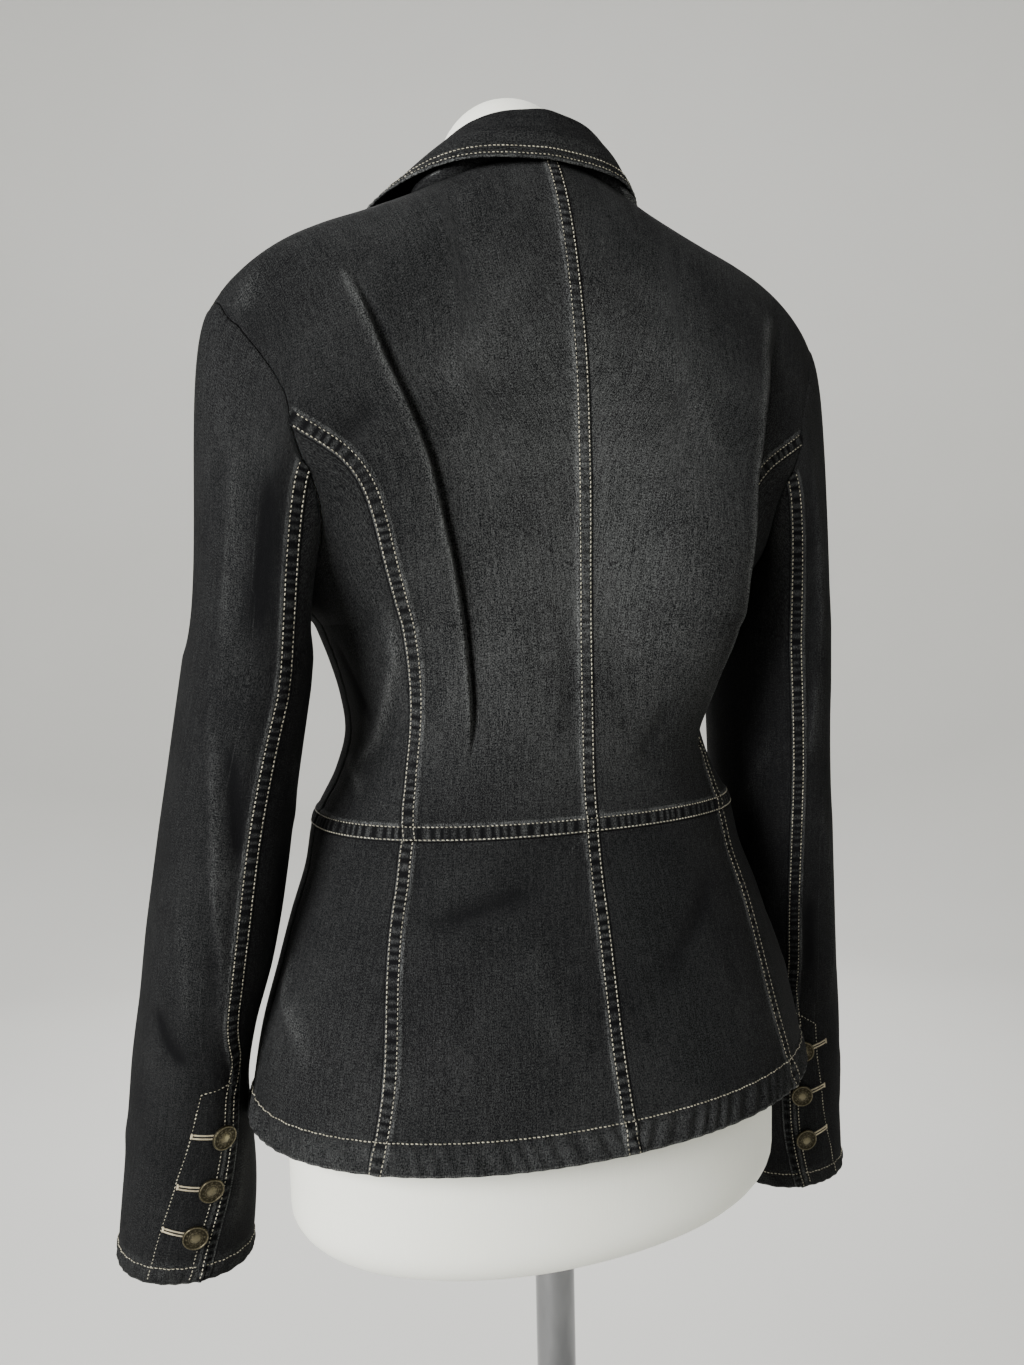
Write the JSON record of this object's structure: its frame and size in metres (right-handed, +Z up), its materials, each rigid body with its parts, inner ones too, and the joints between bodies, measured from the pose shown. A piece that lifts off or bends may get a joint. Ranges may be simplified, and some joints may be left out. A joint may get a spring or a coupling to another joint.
{
  "type": "denim blazer on a dress form",
  "caption": "Fitted denim blazer with notched lapels, a peplum and buttoned cuffs, on a limbless dress form with a round chrome stand.",
  "frame": {"origin": "centre of the base plate's underside, on the floor", "axes": "+Z up; the blazer's front faces -Y and the wearer's left arm is towards +X"},
  "size_m": [0.5873, 0.34, 1.5322],
  "materials": {
    "denim": "washed black stretch denim, faded at the edges",
    "aged_brass": "dark aged brass",
    "white_jersey": "white stretch jersey",
    "chrome": "polished chrome"
  },
  "bodies": {
    "root": {"back_left": "denim", "back_right": "denim", "side_back_left": "denim", "side_back_right": "denim", "side_front_left": "denim", "side_front_right": "denim", "front_left": "denim", "front_right": "denim", "peplum_back_left": "denim", "peplum_back_right": "denim", "peplum_side_back_left": "denim", "peplum_side_back_right": "denim", "peplum_side_front_left": "denim", "peplum_side_front_right": "denim", "peplum_front_left": "denim", "peplum_front_right": "denim", "collar": "denim", "lapel_left": "denim", "lapel_right": "denim", "top_sleeve_left": "denim", "top_sleeve_right": "denim", "under_sleeve_left": "denim", "under_sleeve_right": "denim", "cuff_button_left_1": "aged_brass", "cuff_button_left_2": "aged_brass", "cuff_button_left_3": "aged_brass", "cuff_button_right_1": "aged_brass", "cuff_button_right_2": "aged_brass", "cuff_button_right_3": "aged_brass", "front_button_1": "aged_brass", "front_button_2": "aged_brass", "front_button_3": "aged_brass", "form_body": "white_jersey", "stand_pole": "chrome", "stand_base": "chrome"}
  },
  "joints": []
}
